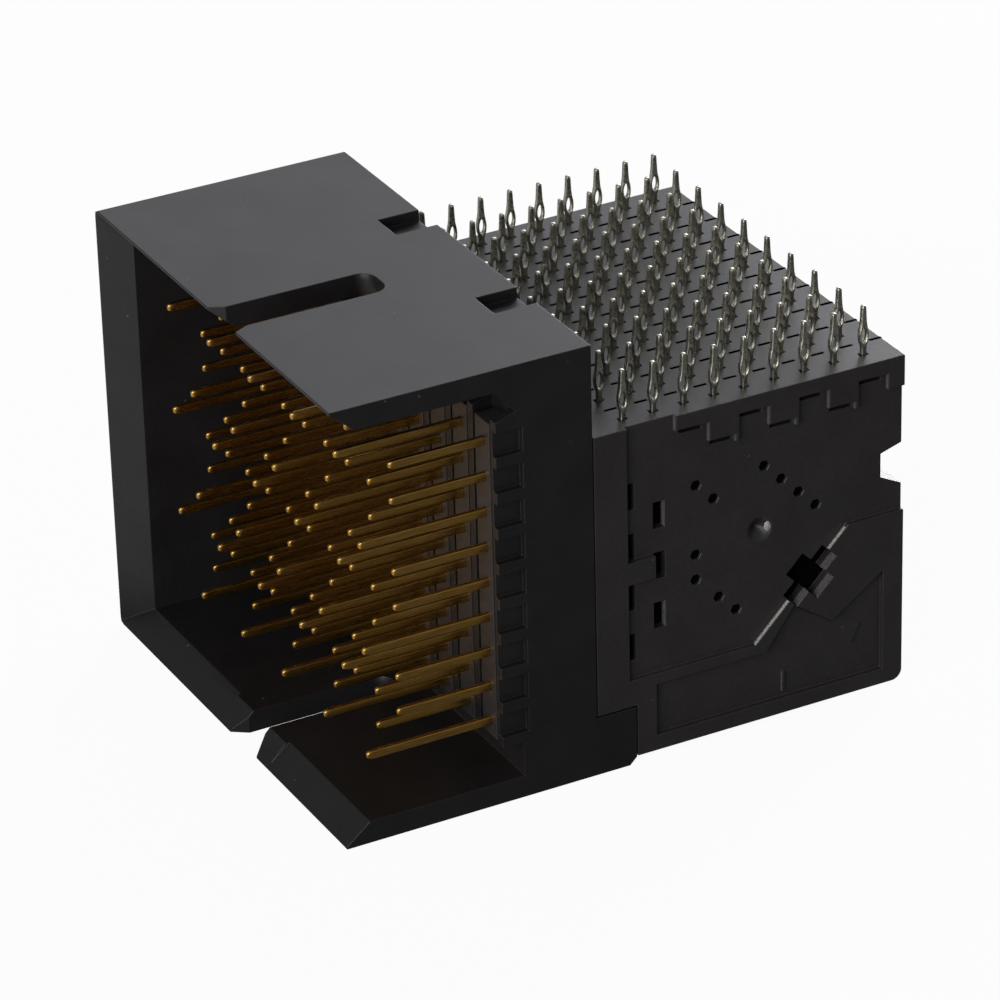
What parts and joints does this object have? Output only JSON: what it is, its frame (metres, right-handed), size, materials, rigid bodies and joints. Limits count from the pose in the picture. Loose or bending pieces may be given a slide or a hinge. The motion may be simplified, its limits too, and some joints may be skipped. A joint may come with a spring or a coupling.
{
  "type": "backplane connector",
  "caption": "Right-angle backplane header: shrouded pin field on one side, stacked moulded wafers with press-fit tails on top.",
  "frame": {"origin": "centre of the bounding box at its lowest plane, under the shroud's foot", "axes": "-Y is the mating side where the pins point, +Z is the board side where the tails point, +X is the shroud's open side"},
  "size_m": [0.0228, 0.0274, 0.0205],
  "materials": {
    "housing_plastic": "moulded black glass-filled plastic, fine matte texture",
    "wafer_plastic": "moulded black glass-filled plastic, smooth satin",
    "contact_metal": "copper alloy strip, gold plated on the pins and tin plated on the tails"
  },
  "bodies": {
    "root": {"shroud_housing": "housing_plastic", "wafer_01": "wafer_plastic", "wafer_02": "wafer_plastic", "wafer_03": "wafer_plastic", "wafer_04": "wafer_plastic", "wafer_05": "wafer_plastic", "wafer_06": "wafer_plastic", "wafer_07": "wafer_plastic", "wafer_08": "wafer_plastic", "wafer_09": "wafer_plastic", "wafer_10": "wafer_plastic", "ground_contacts_01": "contact_metal", "ground_contacts_02": "contact_metal", "ground_contacts_03": "contact_metal", "ground_contacts_04": "contact_metal", "ground_contacts_05": "contact_metal", "ground_contacts_06": "contact_metal", "ground_contacts_07": "contact_metal", "ground_contacts_08": "contact_metal", "ground_contacts_09": "contact_metal", "ground_contacts_10": "contact_metal", "signal_contacts_01": "contact_metal", "signal_contacts_02": "contact_metal", "signal_contacts_03": "contact_metal", "signal_contacts_04": "contact_metal", "signal_contacts_05": "contact_metal", "signal_contacts_06": "contact_metal", "signal_contacts_07": "contact_metal", "signal_contacts_08": "contact_metal", "signal_contacts_09": "contact_metal", "signal_contacts_10": "contact_metal"}
  },
  "joints": []
}
